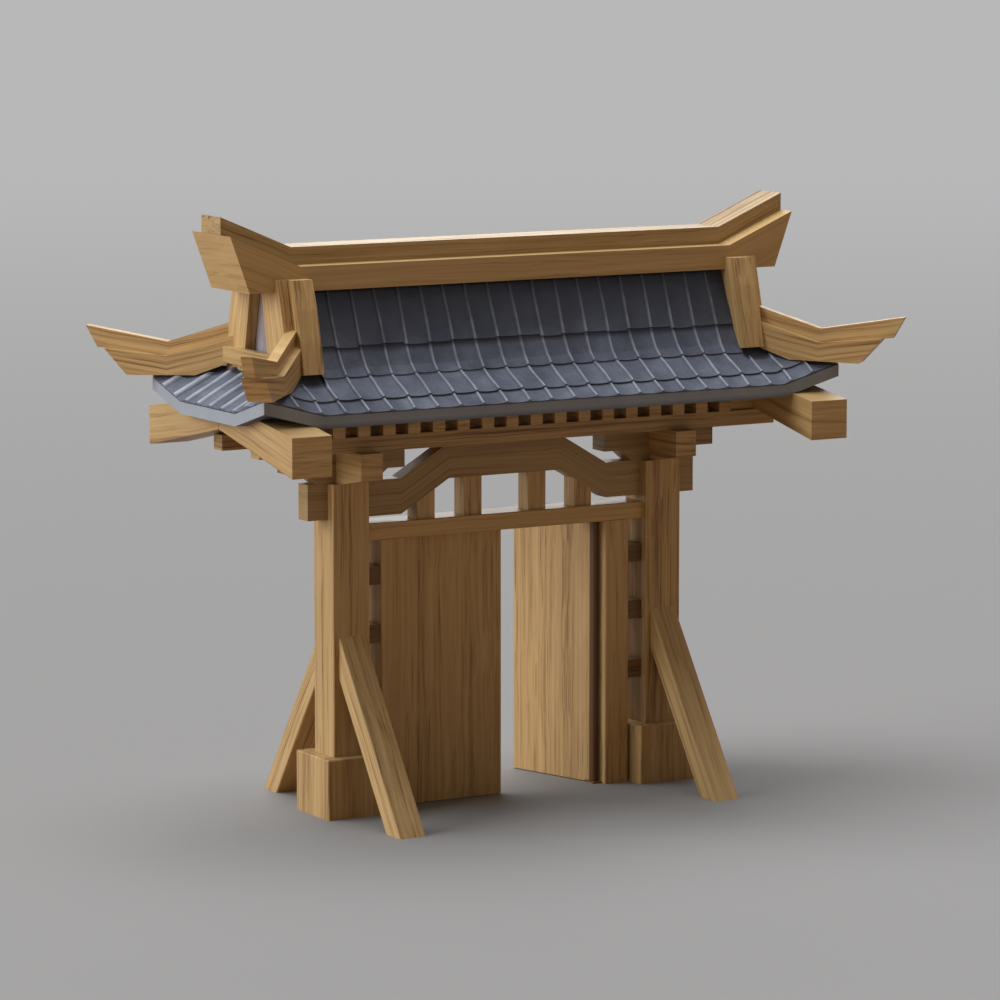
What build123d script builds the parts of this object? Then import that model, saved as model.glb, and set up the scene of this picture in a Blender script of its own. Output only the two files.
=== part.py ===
from build123d import *
import math
import os

os.makedirs("parts", exist_ok=True)

# Driving dimensions, in millimetres. X runs along the facade, Y to the back, Z up.
# The origin is on the ground, midway between the posts.

# Posts and their base blocks
post_half_span = 1590
post_side = 360
post_top = 2920
base_side = 600
base_height = 530
tenon_side = 180
tenon_depth = 220

# Arris taken off the long edges of the timbers
arris = 8

# Braces, from the post's face down to the ground
brace_width = 256
brace_post_low = 1212
brace_post_high = 1583
brace_foot_near = 1020
brace_foot_far = 1267

# Tie beam with its raised middle
tie_depth = 170
tie_height = 315
tie_end_x = 1965
tie_rise_start_x = 1045
tie_rise_end_x = 567
tie_rise = 282

# Lintel, its back flush with the posts' backs, and the struts above it
lintel_front = 120
lintel_bottom = 2396
lintel_height = 152
strut_width = 180
strut_inner_x = 327
strut_outer_x = 800

# Jambs and the rungs that tie them to the posts
jamb_width = 241
jamb_depth = 240
rung_length = 144
rung_height = 165
rung_depth = 210
rung_low_level = 1030
rung_middle_level = 1570
rung_high_level = 2085

# Door leaves, hung on wooden pivots
leaf_thickness = 60
leaf_bottom = 8
leaf_top_gap = 8
leaf_meeting_gap = 8
leaf_shoe_gap = 6
heel_gap = 10
right_leaf_open_deg = 73.5
pivot_radius = 20
pivot_clearance = 0.05
pivot_top_length = 85
pivot_end_gap = 6
shoe_thickness = 14
shoe_depth = 130
shoe_reach = 90
shoe_pin_gap = 2

# Bracket arms crossed over each post
arm_width = 210
arm_height = 300
long_arm_reach = 570
long_arm_tip_height = 200
long_arm_tip_length = 170
long_arm_foot_reach = 280
cross_arm_reach = 560
cross_arm_tip_height = 230

# Purlins and joists
purlin_y = 350
purlin_width = 160
purlin_height = 135
purlin_half_length = 2606
joist_width = 120
joist_spacing = 245
joist_count = 18
joist_height = 178
ceiling_thickness = 35
ceiling_half_width = 328

# Bent beams under the roof's two ends
end_beam_inset = 20
end_beam_width = 374
end_beam_reach = 1353
end_beam_tip_low = 3171
end_beam_tip_high = 3516
end_beam_apex_low = 3448
end_beam_top_slope = 0.139
end_beam_mitre_gap = 6

# Roof: steep slopes over a shallow skirt whose corners turn up
eave_y = 1050
eave_thickness = 105
gable_x = 2310
slope_foot_y = 562
slope_foot_z = 3930
slope_low = (490, 4085)
slope_high = (417, 4295)
slope_top_y = 287
slope_top_z = 4626
attic_half_width = 330
attic_kink_z = 4205
attic_high = (305, 4295)
attic_top_y = 178
gable_wall_thickness = 45
corner_x = 2880
corner_y = 1060
corner_rise = 155
side_skirt_turn_y = 520

# Ridge, a beam and its cap, with raised ends
ridge_half_depth = 361
ridge_foot_x = 2650
ridge_dip_x = 2163
ridge_dip_z = 4838
ridge_tip_x = 2830
ridge_tip_z = 5119
cap_half_depth = 179
cap_thickness = 153

# Hip beams, in two layers, seen along their own vertical plane
hip_root_x = 2345
hip_beam_offset_x = 22
hip_beam_offset_y = -17
hip_angle_deg = 47
hip_width = 214
hip_cap_width = 96
hip_root_run = -90
hip_dip_run = 574
hip_dip_seam_z = 3995
hip_root_seam_z = 4206
hip_root_top_z = 4330
hip_dip_top_z = 4116
hip_tip_run = 1337
hip_tip_z = 4238
hip_cap_end_run = 1230
hip_cap_end_z = 4051
hip_end_run = 1143
hip_heel_run = 936
hip_heel_z = 3818
hip_belly_run = 300
hip_belly_z = 3836
hip_root_foot_z = 3983

# Boards that close each gable
gable_top_z = 4735
batten_inner_x = 2120
batten_outer = ((700, 3950), (640, 4240), (575, 4490), (490, gable_top_z))
gable_board_x = 2315
gable_board_thickness = 95
gable_board_foot_z = 3860
gable_board_outer = ((570, gable_board_foot_z), (518, 4305), (403, gable_top_z))
gable_board_inner_top = 100
gable_board_inner_low = 262
gable_foot_thickness = 65
gable_foot_half_length = 560
gable_foot_top = 4100
gable_foot_bottom = 3960

# Levels and places that follow from the sizes above
post_half = post_side / 2
post_inner_x = post_half_span - post_half
jamb_outer_x = post_inner_x - rung_length
jamb_inner_x = jamb_outer_x - jamb_width
tie_bottom = post_top - tie_height
lintel_top = lintel_bottom + lintel_height
lintel_depth = lintel_front + post_half
lintel_middle_y = (post_half - lintel_front) / 2
arm_top = post_top + arm_height
purlin_top = arm_top + purlin_height
hip_root_y = slope_foot_y
hip_beam_x = hip_root_x + hip_beam_offset_x
hip_beam_y = hip_root_y + hip_beam_offset_y
end_beam_x = purlin_half_length - end_beam_inset
eave_bottom = purlin_top + joist_height
eave_top = eave_bottom + eave_thickness
corner_bottom = eave_bottom + corner_rise
corner_top = eave_top + corner_rise
pivot_x = jamb_inner_x - heel_gap - leaf_thickness / 2
leaf_length = pivot_x - leaf_meeting_gap / 2
leaf_top = lintel_bottom - leaf_top_gap
sides = (("left", -1), ("right", 1))
faces = (("front", -1), ("back", 1))


def keep(piece, node):
    """Label a finished piece and write it under its node's name."""
    piece.part.label = node
    export_step(piece.part, f"parts/{node}.step")


def outward(x, y, dx, dy):
    """A vertical plane at (x, y) whose first axis runs along (dx, dy) and second up."""
    return Plane(origin=(x, y, 0), x_dir=(dx, dy, 0), z_dir=(dy, -dx, 0))


def facet(*corners):
    """A piece of the roof over three corners, each with its x, y, underside and top."""
    lowest = min(low for x, y, low, high in corners) - eave_thickness
    highest = max(high for x, y, low, high in corners) + eave_thickness
    with BuildSketch(Plane.XY.offset(lowest), mode=Mode.PRIVATE) as triangle:
        with BuildLine():
            Polyline(*((x, y) for x, y, low, high in corners), close=True)
        make_face()
    column = extrude(triangle.sketch, amount=highest - lowest, mode=Mode.PRIVATE)
    under = plane_through(*((x, y, low) for x, y, low, high in corners))
    over = plane_through(*((x, y, high) for x, y, low, high in corners))
    column = split(column, bisect_by=under, keep=Keep.TOP, mode=Mode.PRIVATE)
    add(split(column, bisect_by=over, keep=Keep.BOTTOM, mode=Mode.PRIVATE))


def plane_through(first, second, third):
    """The plane through three points, its normal pointing up."""
    along = Vector(*second) - Vector(*first)
    normal = along.cross(Vector(*third) - Vector(*first))
    return Plane(origin=first, x_dir=along, z_dir=normal if normal.Z > 0 else -normal)


def tie_underside(x):
    """Height of the tie beam's underside at a distance x from the middle."""
    share = (tie_rise_start_x - abs(x)) / (tie_rise_start_x - tie_rise_end_x)
    return tie_bottom + tie_rise * min(1, max(0, share))


# Base blocks, each with a mortise for its post
for side, sx in sides:
    with BuildPart() as base_block:
        with BuildSketch(Plane.XY) as base_plan:
            with Locations((sx * post_half_span, 0)):
                Rectangle(base_side, base_side)
        extrude(amount=base_height)
        with BuildSketch(Plane.XY.offset(base_height)):
            with Locations((sx * post_half_span, 0)):
                Rectangle(tenon_side, tenon_side)
        extrude(amount=-tenon_depth, mode=Mode.SUBTRACT)
        chamfer(base_block.edges().filter_by(Axis.Z).sort_by(SortBy.LENGTH)[-4:], arris)
        chamfer(base_block.faces().sort_by(Axis.Z)[-1].outer_wire().edges(), arris)
    keep(base_block, f"base_block_{side}")

# Posts, tenoned into their blocks and slotted at the top for the tie beam
for side, sx in sides:
    with BuildPart() as post:
        with BuildSketch(Plane.XY.offset(base_height)):
            with Locations((sx * post_half_span, 0)):
                Rectangle(post_side, post_side)
        extrude(amount=post_top - base_height)
        with BuildSketch(Plane.XY.offset(base_height)):
            with Locations((sx * post_half_span, 0)):
                Rectangle(tenon_side, tenon_side)
        extrude(amount=-tenon_depth)
        with BuildSketch(Plane.XY.offset(post_top)):
            with Locations((sx * post_half_span, 0)):
                Rectangle(post_side, tie_depth)
        extrude(amount=-tie_height, mode=Mode.SUBTRACT)
        chamfer(post.edges().filter_by(Axis.Z).sort_by(SortBy.LENGTH)[-4:], arris)
    keep(post, f"post_{side}")

# Braces, cut to the post's face and to the ground
for face, sy in faces:
    for side, sx in sides:
        with BuildPart() as brace:
            with BuildSketch(Plane.YZ.offset(sx * post_half_span)):
                with BuildLine():
                    Polyline(
                        (sy * post_half, brace_post_low),
                        (sy * post_half, brace_post_high),
                        (sy * brace_foot_far, 0),
                        (sy * brace_foot_near, 0),
                        close=True,
                    )
                make_face()
            extrude(amount=brace_width / 2, both=True)
            chamfer(brace.edges().sort_by(SortBy.LENGTH)[-4:], arris)
        keep(brace, f"brace_{face}_{side}")

# Tie beam, let into both posts, rising over the doorway
with BuildPart() as tie_beam:
    with BuildSketch(Plane.XZ):
        with BuildLine():
            Polyline(
                (-tie_end_x, tie_bottom),
                (-tie_rise_start_x, tie_bottom),
                (-tie_rise_end_x, tie_bottom + tie_rise),
                (tie_rise_end_x, tie_bottom + tie_rise),
                (tie_rise_start_x, tie_bottom),
                (tie_end_x, tie_bottom),
                (tie_end_x, post_top),
                (tie_rise_start_x, post_top),
                (tie_rise_end_x, post_top + tie_rise),
                (-tie_rise_end_x, post_top + tie_rise),
                (-tie_rise_start_x, post_top),
                (-tie_end_x, post_top),
                close=True,
            )
        make_face()
    extrude(amount=tie_depth / 2, both=True)
keep(tie_beam, "tie_beam")

# Lintel between the posts, bored from below for the leaves' pivots
with BuildPart() as lintel:
    with BuildSketch(Plane.XY.offset(lintel_bottom)):
        with Locations((0, lintel_middle_y)):
            Rectangle(2 * post_inner_x, lintel_depth)
    extrude(amount=lintel_height)
    chamfer(lintel.edges().filter_by(Axis.X), arris)
    with BuildSketch(Plane.XY.offset(lintel_bottom)):
        with Locations((-pivot_x, 0), (pivot_x, 0)):
            Circle(pivot_radius + pivot_clearance)
    extrude(amount=pivot_top_length + pivot_end_gap, mode=Mode.SUBTRACT)
keep(lintel, "lintel")

# Struts from the lintel up to the tie beam's underside
with BuildPart() as transom_struts:
    for x in (-strut_outer_x, -strut_inner_x, strut_inner_x, strut_outer_x):
        left_x = x - strut_width / 2
        right_x = x + strut_width / 2
        with BuildSketch(Plane.XZ):
            with BuildLine():
                Polyline(
                    (left_x, lintel_top),
                    (right_x, lintel_top),
                    (right_x, tie_underside(right_x)),
                    (left_x, tie_underside(left_x)),
                    close=True,
                )
            make_face()
        extrude(amount=tie_depth / 2, both=True)
keep(transom_struts, "transom_struts")

# Jambs, from the ground to the lintel
for side, sx in sides:
    with BuildPart() as jamb:
        with BuildSketch(Plane.XY):
            with Locations((sx * (jamb_inner_x + jamb_width / 2), 0)):
                Rectangle(jamb_width, jamb_depth)
        extrude(amount=lintel_bottom)
        chamfer(jamb.edges().filter_by(Axis.Z), arris)
    keep(jamb, f"jamb_{side}")

# Rungs between each jamb and its post
with BuildPart() as jamb_rungs:
    for side, sx in sides:
        for level in (rung_low_level, rung_middle_level, rung_high_level):
            with BuildSketch(Plane.XY.offset(level - rung_height / 2)):
                with Locations((sx * (jamb_outer_x + rung_length / 2), 0)):
                    Rectangle(rung_length, rung_depth)
            extrude(amount=rung_height)
keep(jamb_rungs, "jamb_rungs")

# Shoes at the jambs' feet that take the leaves' lower pivots
with BuildPart() as pivot_shoes:
    for side, sx in sides:
        with BuildSketch(Plane.XY):
            with Locations((sx * (jamb_inner_x - shoe_reach / 2), 0)):
                Rectangle(shoe_reach, shoe_depth)
            with Locations((sx * pivot_x, 0)):
                Circle(pivot_radius + pivot_clearance, mode=Mode.SUBTRACT)
        extrude(amount=shoe_thickness)
keep(pivot_shoes, "pivot_shoes")

# Door leaves: a round heel about the pivot, raised over the shoe, and a pin at each end
heel_bottom = shoe_thickness + leaf_shoe_gap
shoe_beyond_pivot = shoe_reach - heel_gap - leaf_thickness / 2
heel_reach = math.hypot(shoe_beyond_pivot, shoe_depth / 2) + leaf_shoe_gap
for side, sx in sides:
    turn = 0 if side == "left" else -right_leaf_open_deg
    along = 0 if side == "left" else 180
    hung = Plane(Location((sx * pivot_x, 0, leaf_bottom), (0, 0, along + turn)))
    with BuildPart() as leaf:
        with BuildSketch(hung):
            with Locations((leaf_length / 2, 0)):
                Rectangle(leaf_length, leaf_thickness)
            Circle(leaf_thickness / 2)
        extrude(amount=leaf_top - leaf_bottom)
        with BuildSketch(hung):
            Rectangle(2 * heel_reach, leaf_thickness)
        extrude(amount=heel_bottom - leaf_bottom, mode=Mode.SUBTRACT)
        chamfer(leaf.edges().filter_by(Axis.Z).sort_by(Axis((sx * pivot_x, 0, 0), hung.x_dir))[-2:], arris)
        with BuildSketch(hung.offset(leaf_top - leaf_bottom)):
            Circle(pivot_radius)
        extrude(amount=leaf_top_gap + pivot_top_length)
        with BuildSketch(hung.offset(heel_bottom - leaf_bottom)):
            Circle(pivot_radius)
        extrude(amount=shoe_pin_gap - heel_bottom)
    keep(leaf, f"leaf_{side}")

# Bracket arms, halved into each other over the post
arm_lap = post_top + arm_height / 2
long_arm_outline = (
    (-long_arm_foot_reach, post_top),
    (long_arm_foot_reach, post_top),
    (long_arm_reach - long_arm_tip_length, arm_top - long_arm_tip_height),
    (long_arm_reach, arm_top - long_arm_tip_height),
    (long_arm_reach, arm_top),
    (-long_arm_reach, arm_top),
    (-long_arm_reach, arm_top - long_arm_tip_height),
    (-long_arm_reach + long_arm_tip_length, arm_top - long_arm_tip_height),
)
cross_arm_outline = (
    (-post_half, post_top),
    (post_half, post_top),
    (cross_arm_reach, arm_top - cross_arm_tip_height),
    (cross_arm_reach, arm_top),
    (-cross_arm_reach, arm_top),
    (-cross_arm_reach, arm_top - cross_arm_tip_height),
)
for side, sx in sides:
    with BuildPart() as bracket_x:
        with BuildSketch(Plane.XZ.shift_origin((sx * post_half_span, 0, 0))):
            with BuildLine():
                Polyline(*long_arm_outline, close=True)
            make_face()
        extrude(amount=arm_width / 2, both=True)
        with BuildSketch(Plane.XY.offset(arm_lap)):
            with Locations((sx * post_half_span, 0)):
                Rectangle(arm_width, arm_width)
        extrude(amount=arm_height, mode=Mode.SUBTRACT)
    keep(bracket_x, f"bracket_x_{side}")
    with BuildPart() as bracket_y:
        with BuildSketch(Plane.YZ.offset(sx * post_half_span)):
            with BuildLine():
                Polyline(*cross_arm_outline, close=True)
            make_face()
        extrude(amount=arm_width / 2, both=True)
        with BuildSketch(Plane.XY.offset(arm_lap)):
            with Locations((sx * post_half_span, 0)):
                Rectangle(arm_width, arm_width)
        extrude(amount=-arm_height, mode=Mode.SUBTRACT)
    keep(bracket_y, f"bracket_y_{side}")

# Purlins over the bracket arms
purlins = {}
for face, sy in faces:
    with BuildPart() as purlin:
        with BuildSketch(Plane.XY.offset(arm_top)):
            with Locations((0, sy * purlin_y)):
                Rectangle(2 * purlin_half_length, purlin_width)
        extrude(amount=purlin_height)
    keep(purlin, f"purlin_{face}")
    purlins[face] = purlin.part

# Joists across both purlins, their ends flush with the purlins' faces
joist_length = 2 * purlin_y + purlin_width
with BuildPart() as joists:
    with BuildSketch(Plane.XY.offset(purlin_top)):
        with GridLocations(joist_spacing, 1, joist_count, 1):
            Rectangle(joist_width, joist_length)
    extrude(amount=joist_height)
keep(joists, "joists")

# Ceiling boards on the joists, between the feet of the slopes
with BuildPart() as ceiling_boards:
    with BuildSketch(Plane.XY.offset(eave_bottom)):
        Rectangle(2 * (gable_x - gable_wall_thickness), 2 * ceiling_half_width)
    extrude(amount=ceiling_thickness)
keep(ceiling_boards, "ceiling_boards")

# Roof slopes: steep tiled face, skirt and turned-up corners on one long side
slope_outline = (
    (attic_half_width, eave_bottom),
    (eave_y, eave_bottom),
    (eave_y, eave_top),
    (slope_foot_y, slope_foot_z),
    slope_low,
    slope_high,
    (slope_top_y, slope_top_z),
    (attic_top_y, slope_top_z),
    attic_high,
    (attic_half_width, attic_kink_z),
)
roofs = {}
for face, sy in faces:
    with BuildPart() as roof:
        with BuildSketch(outward(0, 0, 0, sy)):
            with BuildLine():
                Polyline(*slope_outline, close=True)
            make_face()
        extrude(amount=gable_x, both=True)
        for side, sx in sides:
            foot = (sx * gable_x, sy * slope_foot_y, eave_bottom, slope_foot_z)
            eave = (sx * gable_x, sy * eave_y, eave_bottom, eave_top)
            root = (sx * hip_root_x, sy * hip_root_y, eave_bottom, slope_foot_z)
            corner = (sx * corner_x, sy * corner_y, corner_bottom, corner_top)
            facet(foot, eave, root)
            facet(eave, corner, root)
    keep(roof, f"roof_{face}")
    roofs[face] = roof.part

# Skirts across the two ends, meeting the long sides along the hips
for side, sx in sides:
    with BuildPart() as roof:
        with BuildSketch(outward(0, 0, sx, 0)):
            with BuildLine():
                Polyline(
                    (gable_x, eave_bottom),
                    (corner_x, eave_bottom),
                    (corner_x, eave_top),
                    (hip_root_x, slope_foot_z),
                    (gable_x, slope_foot_z),
                    close=True,
                )
            make_face()
        extrude(amount=side_skirt_turn_y, both=True)
        with BuildSketch(Plane.XY.offset(eave_bottom)):
            with Locations((sx * (gable_x + hip_root_x) / 2, 0)):
                Rectangle(hip_root_x - gable_x, 2 * hip_root_y)
        extrude(amount=slope_foot_z - eave_bottom)
        for face, sy in faces:
            foot = (sx * hip_root_x, sy * side_skirt_turn_y, eave_bottom, slope_foot_z)
            eave = (sx * corner_x, sy * side_skirt_turn_y, eave_bottom, eave_top)
            root = (sx * hip_root_x, sy * hip_root_y, eave_bottom, slope_foot_z)
            corner = (sx * corner_x, sy * corner_y, corner_bottom, corner_top)
            facet(foot, eave, root)
            facet(eave, corner, root)
    keep(roof, f"roof_{side}")
    roofs[side] = roof.part

# Gable walls, inside the ends of the slopes
attic_outline = (
    (attic_half_width, eave_bottom),
    (attic_half_width, attic_kink_z),
    attic_high,
    (attic_top_y, slope_top_z),
    (-attic_top_y, slope_top_z),
    (-attic_high[0], attic_high[1]),
    (-attic_half_width, attic_kink_z),
    (-attic_half_width, eave_bottom),
)
with BuildPart() as gable_walls:
    for side, sx in sides:
        with BuildSketch(outward(sx * (gable_x - gable_wall_thickness / 2), 0, 0, 1)):
            with BuildLine():
                Polyline(*attic_outline, close=True)
            make_face()
        extrude(amount=gable_wall_thickness / 2, both=True)
keep(gable_walls, "gable_walls")

# Bent end beams: two halves at each end, notched over the purlins and under the skirt
end_beam_high = end_beam_tip_high + end_beam_top_slope * (end_beam_reach - side_skirt_turn_y)
for side, sx in sides:
    for face, sy in faces:
        with BuildPart() as end_beam:
            with BuildSketch(outward(sx * end_beam_x, 0, 0, sy)):
                with BuildLine():
                    Polyline(
                        (end_beam_mitre_gap / 2, end_beam_apex_low),
                        (end_beam_reach, end_beam_tip_low),
                        (end_beam_reach, end_beam_tip_high),
                        (side_skirt_turn_y, end_beam_high),
                        (end_beam_mitre_gap / 2, end_beam_high),
                        close=True,
                    )
                make_face()
            extrude(amount=end_beam_width / 2, both=True)
            add(purlins[face], mode=Mode.SUBTRACT)
            add(roofs[side], mode=Mode.SUBTRACT)
            add(roofs[face], mode=Mode.SUBTRACT)
        keep(end_beam, f"end_beam_{face}_{side}")

# Ridge beam with raised ends
with BuildPart() as ridge_beam:
    with BuildSketch(Plane.XZ):
        with BuildLine():
            Polyline(
                (-ridge_foot_x, slope_top_z),
                (ridge_foot_x, slope_top_z),
                (ridge_tip_x, ridge_tip_z),
                (ridge_dip_x, ridge_dip_z),
                (-ridge_dip_x, ridge_dip_z),
                (-ridge_tip_x, ridge_tip_z),
                close=True,
            )
        make_face()
    extrude(amount=ridge_half_depth, both=True)
keep(ridge_beam, "ridge_beam")

# Cap along the top of the ridge beam
with BuildPart() as ridge_cap:
    with BuildSketch(Plane.XZ):
        with BuildLine():
            Polyline(
                (-ridge_tip_x, ridge_tip_z),
                (-ridge_dip_x, ridge_dip_z),
                (ridge_dip_x, ridge_dip_z),
                (ridge_tip_x, ridge_tip_z),
                (ridge_tip_x, ridge_tip_z + cap_thickness),
                (ridge_dip_x, ridge_dip_z + cap_thickness),
                (-ridge_dip_x, ridge_dip_z + cap_thickness),
                (-ridge_tip_x, ridge_tip_z + cap_thickness),
                close=True,
            )
        make_face()
    extrude(amount=cap_half_depth, both=True)
keep(ridge_cap, "ridge_cap")

# Battens down the slopes beside each gable, lapped over the ridge beam's faces
for side, sx in sides:
    with BuildPart() as gable_battens:
        for face, sy in faces:
            with BuildSketch(outward(sx * (batten_inner_x + gable_board_x) / 2, 0, 0, sy)):
                with BuildLine():
                    Polyline(
                        *batten_outer,
                        (ridge_half_depth, gable_top_z),
                        (ridge_half_depth, slope_top_z),
                        (slope_top_y, slope_top_z),
                        slope_high,
                        slope_low,
                        (slope_foot_y, slope_foot_z),
                        close=True,
                    )
                make_face()
            extrude(amount=(gable_board_x - batten_inner_x) / 2, both=True)
        add(roofs[side], mode=Mode.SUBTRACT)
    keep(gable_battens, f"gable_battens_{side}")

# Boards that frame each gable, seated on the skirt
boards = {}
for side, sx in sides:
    with BuildPart() as gable_boards:
        for face, sy in faces:
            with BuildSketch(outward(sx * (gable_board_x + gable_board_thickness / 2), 0, 0, sy)):
                with BuildLine():
                    Polyline(
                        *gable_board_outer,
                        (ridge_half_depth, gable_top_z),
                        (ridge_half_depth, slope_top_z),
                        (gable_board_inner_top, slope_top_z),
                        (gable_board_inner_low, gable_board_foot_z),
                        close=True,
                    )
                make_face()
            extrude(amount=gable_board_thickness / 2, both=True)
        add(roofs[side], mode=Mode.SUBTRACT)
        add(roofs["front"], mode=Mode.SUBTRACT)
        add(roofs["back"], mode=Mode.SUBTRACT)
    keep(gable_boards, f"gable_boards_{side}")
    boards[side] = gable_boards.part

# Hip beams and their caps, cut flush with the battens and scribed to the roof and the boards
hip_seam_slope = (hip_cap_end_z - hip_dip_seam_z) / (hip_cap_end_run - hip_dip_run)
hip_beam_outline = (
    (hip_root_run, hip_root_foot_z),
    (hip_belly_run, hip_belly_z),
    (hip_heel_run, hip_heel_z),
    (hip_end_run, hip_dip_seam_z + hip_seam_slope * (hip_end_run - hip_dip_run)),
    (hip_dip_run, hip_dip_seam_z),
    (hip_root_run, hip_root_seam_z),
)
hip_cap_outline = (
    (hip_root_run, hip_root_seam_z),
    (hip_dip_run, hip_dip_seam_z),
    (hip_cap_end_run, hip_cap_end_z),
    (hip_tip_run, hip_tip_z),
    (hip_dip_run, hip_dip_top_z),
    (hip_root_run, hip_root_top_z),
)
hip_cos = math.cos(math.radians(hip_angle_deg))
hip_sin = math.sin(math.radians(hip_angle_deg))
hips = {}
for node, outline, width in (
    ("hip_beams", hip_beam_outline, hip_width),
    ("hip_caps", hip_cap_outline, hip_cap_width),
):
    with BuildPart() as hip:
        for side, sx in sides:
            for face, sy in faces:
                with BuildSketch(outward(sx * hip_beam_x, sy * hip_beam_y, sx * hip_cos, sy * hip_sin)):
                    with BuildLine():
                        Polyline(*outline, close=True)
                    make_face()
                extrude(amount=width / 2, both=True)
        with BuildSketch(Plane.XY.offset(hip_heel_z)):
            Rectangle(2 * gable_board_x, 2 * end_beam_reach)
        extrude(amount=slope_top_z - hip_heel_z, mode=Mode.SUBTRACT)
        for scribed in (*roofs.values(), *boards.values()):
            add(scribed, mode=Mode.SUBTRACT)
    keep(hip, node)
    hips[node] = hip.part

# Foot board across each gable, between the hips
for side, sx in sides:
    with BuildPart() as gable_foot:
        with BuildSketch(Plane.XY.offset(gable_foot_bottom)):
            with Locations((sx * (gable_board_x + gable_board_thickness + gable_foot_thickness / 2), 0)):
                Rectangle(gable_foot_thickness, 2 * gable_foot_half_length)
        extrude(amount=gable_foot_top - gable_foot_bottom)
        add(roofs[side], mode=Mode.SUBTRACT)
        for scribed in hips.values():
            add(scribed, mode=Mode.SUBTRACT)
    keep(gable_foot, f"gable_foot_{side}")
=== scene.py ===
import math
import random
from collections import namedtuple

import bmesh
import bpy
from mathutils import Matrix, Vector
from mathutils.bvhtree import BVHTree


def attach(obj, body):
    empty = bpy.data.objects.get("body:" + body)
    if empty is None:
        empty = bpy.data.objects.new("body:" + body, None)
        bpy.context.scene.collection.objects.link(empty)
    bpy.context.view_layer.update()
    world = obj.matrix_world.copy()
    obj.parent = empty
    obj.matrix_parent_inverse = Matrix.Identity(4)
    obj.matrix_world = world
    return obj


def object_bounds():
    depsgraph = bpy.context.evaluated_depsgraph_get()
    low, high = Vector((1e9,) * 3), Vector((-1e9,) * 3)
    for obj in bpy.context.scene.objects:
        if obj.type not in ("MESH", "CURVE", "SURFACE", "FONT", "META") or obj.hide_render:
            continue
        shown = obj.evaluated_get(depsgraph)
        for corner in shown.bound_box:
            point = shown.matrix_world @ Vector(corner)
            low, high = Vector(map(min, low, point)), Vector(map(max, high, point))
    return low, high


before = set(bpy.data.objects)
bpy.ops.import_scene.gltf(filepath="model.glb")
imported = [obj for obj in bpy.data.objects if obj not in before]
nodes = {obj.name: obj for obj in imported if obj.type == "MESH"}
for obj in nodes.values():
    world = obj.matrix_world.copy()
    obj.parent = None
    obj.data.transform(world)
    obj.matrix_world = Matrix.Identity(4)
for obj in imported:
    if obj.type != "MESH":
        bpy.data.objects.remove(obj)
cad_low, cad_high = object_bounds()

# The camera, at the photograph's angle, in degrees, metres and millimetres of lens and sensor
CAMERA_TURN = 30.09
CAMERA_DOWN = 7.96
CAMERA_DISTANCE = 41.04
CAMERA_TARGET = Vector((0, 0, 2.6436))
CAMERA_LENS = 166.96
SENSOR_WIDTH = 36

# Colours, as linear red, green and blue
WOOD_LIGHT = (0.56, 0.395, 0.19)
WOOD_MIDDLE = (0.43, 0.282, 0.118)
WOOD_DARK = (0.20, 0.10, 0.032)
VEIN_TINT = (0.50, 0.40, 0.31)
RUNG_WOOD = (0.17, 0.085, 0.028)
HEEL_PAINTED_SHADE = (0.10, 0.038, 0.006)
TILE_LIGHT = (0.130, 0.152, 0.215)
TILE_MIDDLE = (0.090, 0.107, 0.156)
TILE_DARK = (0.062, 0.073, 0.108)
TILE_CREST_HIGHLIGHT = (0.38, 0.42, 0.50)
TILE_SEAM_SHADE = (0.012, 0.014, 0.02)
FASCIA_GREY = (0.34, 0.39, 0.46)
FASCIA_STAIN_AND_SHADE = (0.075, 0.088, 0.115)
WALL_LIGHT = (0.40, 0.37, 0.40)
WALL_DARK = (0.28, 0.25, 0.28)
FLOOR_GREY = (0.272, 0.272, 0.276)
FLOOR_BOUNCE = (0.27, 0.18, 0.12)
FAR_GREY = (0.478, 0.478, 0.478)
AMBIENT_TINT = (1.0, 0.86, 0.72)
WHITE = (1.0, 1.0, 1.0)

# The range that a noise mostly keeps to
NOISE_LOW = 0.3
NOISE_HIGH = 0.7

# How the grain varies per metre: slowly along a timber, and fast from layer to layer
GRAIN_ALONG = 0.22
GRAIN_SIDE = 0.6
GRAIN_LAYER = 14
GRAIN_WIDE = 9
GRAIN_TOP = 6
GRAIN_SWAY = 0.07
GRAIN_SWAY_SCALE = 1.1

# The wood's bands, streaks, fine lines and dark veins, and each one's share of the tone
BAND_NOISE = {"scale": 0.45, "detail": 1, "distortion": 0.3}
STREAK_NOISE = {"scale": 1.9, "detail": 3, "roughness": 0.55, "distortion": 0.45}
FINE_NOISE = {"scale": 7.5, "detail": 2, "roughness": 0.6, "distortion": 0.2}
VEIN_NOISE = {"scale": 2.6, "detail": 2, "roughness": 0.45, "distortion": 0.6}
BAND_SHARE = 0.25
STREAK_SHARE = 0.5
FINE_SHARE = 0.25
WOOD_STOPS = (0.37, 0.47, 0.62)
VEIN_STOPS = (0.30, 0.385)
VEIN_STRENGTH = 0.9
WOOD_ROUGHEST = 0.5
WOOD_SMOOTHEST = 0.36
WOOD_SPECULAR = 0.35
FINE_RELIEF = 0.5

# Each timber's grain is taken from another place of the pattern, this far on along x, y and z
GRAIN_STEP = Vector((1.3, 2.21, 2.99))

# The rungs' dark streaks, which run along them
RUNG_NOISE = {"scale": 2, "detail": 3}
RUNG_STRETCH_Y = 3.0
RUNG_STRETCH_Z = 18.0
RUNG_STOPS = (0.38, 0.58)
RUNG_SHADE = 0.55
RUNG_ROUGHNESS = 0.55

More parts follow.
